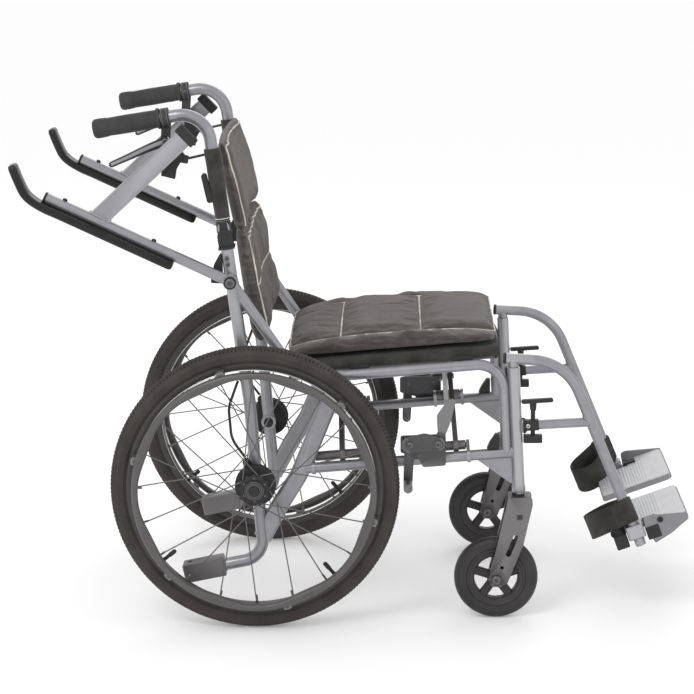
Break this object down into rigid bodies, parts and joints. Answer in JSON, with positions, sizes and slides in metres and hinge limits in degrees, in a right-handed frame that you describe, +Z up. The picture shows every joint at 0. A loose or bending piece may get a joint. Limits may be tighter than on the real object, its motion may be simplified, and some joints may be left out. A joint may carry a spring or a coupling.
{
  "type": "folding wheelchair",
  "caption": "Folding self-propelled wheelchair with hand rims, swing-away footrests, flip-back armrests, folding back and attendant brakes.",
  "frame": {"origin": "on the floor, in the middle of the chair's overall length and width", "axes": "+X forward, +Y to the user's left, +Z up"},
  "size_m": [1.1842, 0.627, 0.9181],
  "materials": {
    "frame_paint": "satin silver paint on aluminium tube",
    "brace_paint": "dark grey paint",
    "black_plastic": "fine moulded texture",
    "tyre_rubber": "charcoal rubber with a block tread",
    "dark_rim": "satin dark rim",
    "spoke_steel": "dark spokes",
    "handrim_grey": "satin dark grey",
    "fork_grey": "dark grey cast fork",
    "castor_rubber": "solid rubber",
    "castor_plastic": "dark grey moulding",
    "lock_grey": "dark grey plate",
    "grip_rubber": "matt rubber",
    "arm_pad_foam": "skinned foam",
    "footplate_plastic": "light grey ribbed plastic",
    "webbing": "woven black webbing",
    "cable_jacket": "smooth jacket",
    "upholstery": "dark taupe woven fabric with pale piping"
  },
  "bodies": {
    "frame_right": {"side_frame_right": "frame_paint", "frame_fittings_right": "black_plastic", "wheel_lock_plate_right": "lock_grey", "brake_cable_right": "cable_jacket", "back_pad_lower": "upholstery"},
    "frame_left": {"side_frame_left": "frame_paint", "frame_fittings_left": "black_plastic", "wheel_lock_plate_left": "lock_grey", "brake_cable_left": "cable_jacket"},
    "brace_a": {"cross_brace_a": "brace_paint"},
    "brace_b": {"cross_brace_b": "brace_paint"},
    "seat_left": {"seat_cushion_left": "upholstery", "seat_sling_left": "webbing"},
    "seat_right": {"seat_cushion_right": "upholstery", "seat_sling_right": "webbing"},
    "wheel_left": {"tyre_left": "tyre_rubber", "rim_left": "dark_rim", "spokes_left": "spoke_steel", "hub_left": "black_plastic", "handrim_left": "handrim_grey"},
    "axle_button_left": {"axle_button_left": "black_plastic"},
    "castor_fork_left": {"castor_fork_left": "fork_grey"},
    "castor_wheel_left": {"castor_tyre_left": "castor_rubber", "castor_wheel_left": "castor_plastic"},
    "lock_lever_left": {"wheel_lock_lever_left": "lock_grey"},
    "lock_shoe_left": {"wheel_lock_shoe_left": "lock_grey"},
    "back_upper_left": {"back_post_left": "frame_paint", "push_grip_left": "grip_rubber"},
    "back_latch_left": {"back_release_lever_left": "black_plastic"},
    "brake_lever_left": {"attendant_lever_left": "black_plastic"},
    "arm_left": {"arm_frame_left": "frame_paint", "arm_pad_left": "arm_pad_foam"},
    "arm_latch_left": {"arm_latch_left": "black_plastic"},
    "footrest_left": {"footrest_hanger_left": "frame_paint", "heel_loop_left": "webbing"},
    "footrest_latch_left": {"footrest_release_left": "black_plastic"},
    "footplate_left": {"footplate_left": "footplate_plastic"},
    "wheel_right": {"tyre_right": "tyre_rubber", "rim_right": "dark_rim", "spokes_right": "spoke_steel", "hub_right": "black_plastic", "handrim_right": "handrim_grey"},
    "axle_button_right": {"axle_button_right": "black_plastic"},
    "castor_fork_right": {"castor_fork_right": "fork_grey"},
    "castor_wheel_right": {"castor_tyre_right": "castor_rubber", "castor_wheel_right": "castor_plastic"},
    "lock_lever_right": {"wheel_lock_lever_right": "lock_grey"},
    "lock_shoe_right": {"wheel_lock_shoe_right": "lock_grey"},
    "back_upper_right": {"back_post_right": "frame_paint", "push_grip_right": "grip_rubber", "back_pad_upper": "upholstery"},
    "back_latch_right": {"back_release_lever_right": "black_plastic"},
    "brake_lever_right": {"attendant_lever_right": "black_plastic"},
    "arm_right": {"arm_frame_right": "frame_paint", "arm_pad_right": "arm_pad_foam"},
    "arm_latch_right": {"arm_latch_right": "black_plastic"},
    "footrest_right": {"footrest_hanger_right": "frame_paint", "heel_loop_right": "webbing"},
    "footrest_latch_right": {"footrest_release_right": "black_plastic"},
    "footplate_right": {"footplate_right": "footplate_plastic"}
  },
  "joints": [
    {"name": "fold", "type": "hinge", "parent": "frame_right", "child": "brace_a", "pos_m": [0.17009, -0.2, 0.31145], "axis": [0.9969, 0, 0.0785], "range_deg": [0, 42], "deforming": ["back_pad_lower", "back_pad_upper"]},
    {"name": "brace_scissor", "type": "hinge", "parent": "brace_a", "child": "brace_b", "pos_m": [0.16372, 0, 0.3925], "axis": [0.9969, 0, 0.0785], "range_deg": [-84, 0]},
    {"name": "left_frame_fold", "type": "hinge", "parent": "brace_b", "child": "frame_left", "pos_m": [0.17009, 0.2, 0.31145], "axis": [0.9969, 0, 0.0785], "range_deg": [0, 42]},
    {"name": "seat_left_fold", "type": "hinge", "parent": "brace_a", "child": "seat_left", "pos_m": [0.15734, 0.2, 0.47355], "axis": [0.9969, 0, 0.0785], "range_deg": [-104.4, 0]},
    {"name": "seat_centre_fold", "type": "hinge", "parent": "seat_left", "child": "seat_right", "pos_m": [0.15734, 0, 0.47355], "axis": [0.9969, 0, 0.0785], "range_deg": [0, 124.3]},
    {"name": "wheel_spin_left", "type": "hinge", "parent": "frame_left", "child": "wheel_left", "pos_m": [-0.17565, 0.27, 0.255], "axis": [0, 1, 0], "continuous": true},
    {"name": "axle_button_push_left", "type": "slide", "parent": "frame_left", "child": "axle_button_left", "axis": [0, -1, 0], "range_m": [0, 0.004], "stiffness_N_per_m": 400, "springref_m": -0.003},
    {"name": "castor_swivel_left", "type": "hinge", "parent": "frame_left", "child": "castor_fork_left", "pos_m": [0.28935, 0.218, 0.23], "axis": [0, 0, 1], "continuous": true},
    {"name": "castor_spin_left", "type": "hinge", "parent": "castor_fork_left", "child": "castor_wheel_left", "pos_m": [0.25035, 0.218, 0.075], "axis": [0, 1, 0], "continuous": true},
    {"name": "wheel_lock_left", "type": "hinge", "parent": "frame_left", "child": "lock_lever_left", "pos_m": [0.14635, 0.238, 0.327], "axis": [0, 1, 0], "range_deg": [0, 45]},
    {"name": "lock_shoe_swing_left", "type": "hinge", "parent": "frame_left", "child": "lock_shoe_left", "pos_m": [0.09635, 0.238, 0.325], "axis": [0, 1, 0], "range_deg": [0, 4]},
    {"name": "back_fold_left", "type": "hinge", "parent": "frame_left", "child": "back_upper_left", "pos_m": [-0.22415, 0.211, 0.694], "axis": [0, -1, 0], "range_deg": [0, 112]},
    {"name": "back_release_left", "type": "hinge", "parent": "back_upper_left", "child": "back_latch_left", "pos_m": [-0.24971, 0.211, 0.75716], "axis": [0, -1, 0], "range_deg": [0, 18], "stiffness_Nm_per_rad": 0.4, "springref_deg": -17.19},
    {"name": "attendant_brake_left", "type": "hinge", "parent": "back_upper_left", "child": "brake_lever_left", "pos_m": [-0.32465, 0.22, 0.861], "axis": [0, 1, 0], "range_deg": [0, 15], "stiffness_Nm_per_rad": 1.2, "springref_deg": -17.19},
    {"name": "armrest_flip_left", "type": "hinge", "parent": "frame_left", "child": "arm_left", "pos_m": [-0.21415, 0.244, 0.6178], "axis": [0, 1, 0], "range_deg": [0, 154.8]},
    {"name": "arm_catch_left", "type": "slide", "parent": "arm_left", "child": "arm_latch_left", "axis": [-0.7312, 0, -0.6822], "range_m": [0, 0.003], "stiffness_N_per_m": 600, "springref_m": -0.003},
    {"name": "footrest_swing_left", "type": "hinge", "parent": "frame_left", "child": "footrest_left", "pos_m": [0.27935, 0.218, 0.4586], "axis": [-0.0481, 0, 0.9988], "range_deg": [0, 90]},
    {"name": "footrest_release_left", "type": "slide", "parent": "footrest_left", "child": "footrest_latch_left", "axis": [0, 0, 1], "range_m": [0, 0.004], "stiffness_N_per_m": 500, "springref_m": -0.004},
    {"name": "footplate_flip_left", "type": "hinge", "parent": "footrest_left", "child": "footplate_left", "pos_m": [0.49835, 0.196, 0.159], "axis": [-0.9397, 0, -0.342], "range_deg": [0, 90], "deforming": ["heel_loop_left"]},
    {"name": "wheel_spin_right", "type": "hinge", "parent": "frame_right", "child": "wheel_right", "pos_m": [-0.17565, -0.27, 0.255], "axis": [0, 1, 0], "continuous": true},
    {"name": "axle_button_push_right", "type": "slide", "parent": "frame_right", "child": "axle_button_right", "axis": [0, 1, 0], "range_m": [0, 0.004], "stiffness_N_per_m": 400, "springref_m": -0.003},
    {"name": "castor_swivel_right", "type": "hinge", "parent": "frame_right", "child": "castor_fork_right", "pos_m": [0.28935, -0.218, 0.23], "axis": [0, 0, 1], "continuous": true},
    {"name": "castor_spin_right", "type": "hinge", "parent": "castor_fork_right", "child": "castor_wheel_right", "pos_m": [0.25035, -0.218, 0.075], "axis": [0, 1, 0], "continuous": true},
    {"name": "wheel_lock_right", "type": "hinge", "parent": "frame_right", "child": "lock_lever_right", "pos_m": [0.14635, -0.238, 0.327], "axis": [0, 1, 0], "range_deg": [0, 45]},
    {"name": "lock_shoe_swing_right", "type": "hinge", "parent": "frame_right", "child": "lock_shoe_right", "pos_m": [0.09635, -0.238, 0.325], "axis": [0, 1, 0], "range_deg": [0, 4]},
    {"name": "back_fold_right", "type": "hinge", "parent": "frame_right", "child": "back_upper_right", "pos_m": [-0.22415, -0.211, 0.694], "axis": [0, -1, 0], "range_deg": [0, 112]},
    {"name": "back_release_right", "type": "hinge", "parent": "back_upper_right", "child": "back_latch_right", "pos_m": [-0.24971, -0.211, 0.75716], "axis": [0, -1, 0], "range_deg": [0, 18], "stiffness_Nm_per_rad": 0.4, "springref_deg": -17.19},
    {"name": "attendant_brake_right", "type": "hinge", "parent": "back_upper_right", "child": "brake_lever_right", "pos_m": [-0.32465, -0.22, 0.861], "axis": [0, 1, 0], "range_deg": [0, 15], "stiffness_Nm_per_rad": 1.2, "springref_deg": -17.19},
    {"name": "armrest_flip_right", "type": "hinge", "parent": "frame_right", "child": "arm_right", "pos_m": [-0.21415, -0.244, 0.6178], "axis": [0, 1, 0], "range_deg": [0, 154.8]},
    {"name": "arm_catch_right", "type": "slide", "parent": "arm_right", "child": "arm_latch_right", "axis": [-0.7312, 0, -0.6822], "range_m": [0, 0.003], "stiffness_N_per_m": 600, "springref_m": -0.003},
    {"name": "footrest_swing_right", "type": "hinge", "parent": "frame_right", "child": "footrest_right", "pos_m": [0.27935, -0.218, 0.4586], "axis": [0.0481, 0, -0.9988], "range_deg": [0, 90]},
    {"name": "footrest_release_right", "type": "slide", "parent": "footrest_right", "child": "footrest_latch_right", "axis": [0, 0, 1], "range_m": [0, 0.004], "stiffness_N_per_m": 500, "springref_m": -0.004},
    {"name": "footplate_flip_right", "type": "hinge", "parent": "footrest_right", "child": "footplate_right", "pos_m": [0.49835, -0.196, 0.159], "axis": [0.9397, 0, 0.342], "range_deg": [0, 90], "deforming": ["heel_loop_right"]}
  ],
  "couplings": [
    {"joint": "brace_scissor", "follows": "fold", "ratio": -2},
    {"joint": "left_frame_fold", "follows": "fold", "ratio": 1},
    {"joint": "seat_left_fold", "follows": "fold", "ratio": -2.4736},
    {"joint": "seat_centre_fold", "follows": "fold", "ratio": 2.9472},
    {"joint": "lock_shoe_swing_left", "follows": "wheel_lock_left", "ratio": 0.088889},
    {"joint": "footplate_flip_left", "follows": "fold", "ratio": 2.1429},
    {"joint": "lock_shoe_swing_right", "follows": "wheel_lock_right", "ratio": 0.088889},
    {"joint": "footplate_flip_right", "follows": "fold", "ratio": 2.1429},
    {"joint": "back_fold_left", "follows": "back_fold_right", "ratio": 1}
  ]
}
